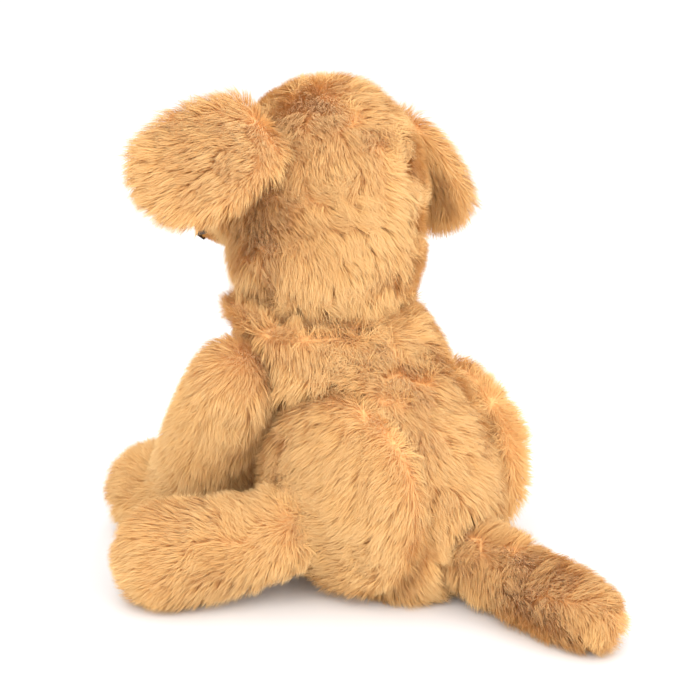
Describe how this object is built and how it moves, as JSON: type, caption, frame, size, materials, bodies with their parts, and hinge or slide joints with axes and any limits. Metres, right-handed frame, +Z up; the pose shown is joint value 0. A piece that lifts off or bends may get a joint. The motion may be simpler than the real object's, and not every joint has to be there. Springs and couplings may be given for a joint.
{
  "type": "plush dog",
  "caption": "Sitting plush puppy with long honey-coloured pile, floppy ears, splayed hind legs, long front paws and a tail on the floor.",
  "frame": {"origin": "on the floor, in the middle of the flat seat under the body", "axes": "+Z up, -Y the way the dog faces, +X the dog's left side"},
  "size_m": [0.2234, 0.269, 0.223],
  "materials": {
    "pile_honey": "long brushed pile",
    "pile_light": "long brushed pile",
    "pile_short": "short brushed pile",
    "filling": "loose polyester fibre",
    "bag_cloth": "plain woven",
    "pellet": "loose small beads",
    "safety_black": "glossy",
    "washer_plastic": "matt",
    "thread": "stitched thread"
  },
  "bodies": {
    "torso": {"back_panel_left": "pile_honey", "back_panel_right": "pile_honey", "belly_panel": "pile_light", "seat_panel": "pile_light", "body_filling": "filling", "pellet_bag": "bag_cloth", "pellets": "pellet"},
    "neck": {"neck_wadding": "filling"},
    "head": {"head_panel_left": "pile_honey", "head_panel_right": "pile_honey", "head_gusset": "pile_honey", "muzzle_panel": "pile_short", "chin_panel": "pile_short", "neck_panel": "pile_honey", "head_filling": "filling", "nose": "safety_black", "nose_washer": "washer_plastic", "eye_left": "safety_black", "eye_right": "safety_black", "eye_washer_left": "washer_plastic", "eye_washer_right": "washer_plastic", "mouth_stitch": "thread"},
    "ear_left": {"ear_outer_left": "pile_honey", "ear_lining_left": "pile_light"},
    "ear_right": {"ear_outer_right": "pile_honey", "ear_lining_right": "pile_light"},
    "front_leg_left": {"front_leg_outer_left": "pile_honey", "front_leg_inner_left": "pile_light", "front_leg_filling_left": "filling"},
    "hind_leg_left": {"hind_leg_outer_left": "pile_honey", "hind_leg_inner_left": "pile_light", "hind_leg_filling_left": "filling"},
    "front_leg_right": {"front_leg_outer_right": "pile_honey", "front_leg_inner_right": "pile_light", "front_leg_filling_right": "filling"},
    "hind_leg_right": {"hind_leg_outer_right": "pile_honey", "hind_leg_inner_right": "pile_light", "hind_leg_filling_right": "filling"},
    "tail": {"tail_upper": "pile_honey", "tail_lower": "pile_light", "tail_filling": "filling"}
  },
  "joints": [
    {"name": "neck_turn", "type": "hinge", "parent": "torso", "child": "neck", "pos_m": [0, -0.043, 0.14836], "axis": [0, 0, 1], "range_deg": [-35, 35], "stiffness_Nm_per_rad": 0.5},
    {"name": "head_nod", "type": "hinge", "parent": "neck", "child": "head", "pos_m": [0, -0.043, 0.14836], "axis": [1, 0, 0], "range_deg": [-15, 17], "stiffness_Nm_per_rad": 1.2},
    {"name": "ear_left_flap", "type": "hinge", "parent": "head", "child": "ear_left", "pos_m": [0.03999, -0.043, 0.20722], "axis": [-0.0761, -0.8071, 0.5855], "range_deg": [-20, 20], "stiffness_Nm_per_rad": 0.06},
    {"name": "ear_right_flap", "type": "hinge", "parent": "head", "child": "ear_right", "pos_m": [-0.0458, -0.043, 0.19741], "axis": [0.1571, 0.9873, 0.0232], "range_deg": [-16, 36], "stiffness_Nm_per_rad": 0.06},
    {"name": "front_leg_left_swing", "type": "hinge", "parent": "torso", "child": "front_leg_left", "pos_m": [0.046, -0.056, 0.092], "axis": [-1, 0, 0], "range_deg": [0, 30], "stiffness_Nm_per_rad": 0.3},
    {"name": "front_leg_right_swing", "type": "hinge", "parent": "torso", "child": "front_leg_right", "pos_m": [-0.046, -0.056, 0.092], "axis": [-1, 0, 0], "range_deg": [0, 30], "stiffness_Nm_per_rad": 0.3},
    {"name": "hind_leg_left_lift", "type": "hinge", "parent": "torso", "child": "hind_leg_left", "pos_m": [0.04, -0.002, 0.05], "axis": [-1, 0, 0], "range_deg": [0, 22], "stiffness_Nm_per_rad": 0.6},
    {"name": "hind_leg_right_lift", "type": "hinge", "parent": "torso", "child": "hind_leg_right", "pos_m": [-0.04, -0.002, 0.05], "axis": [-1, 0, 0], "range_deg": [0, 22], "stiffness_Nm_per_rad": 0.6},
    {"name": "tail_swing", "type": "hinge", "parent": "torso", "child": "tail", "pos_m": [0, 0.038, 0.022], "axis": [0, 0, 1], "range_deg": [-35, 35], "stiffness_Nm_per_rad": 0.3}
  ]
}
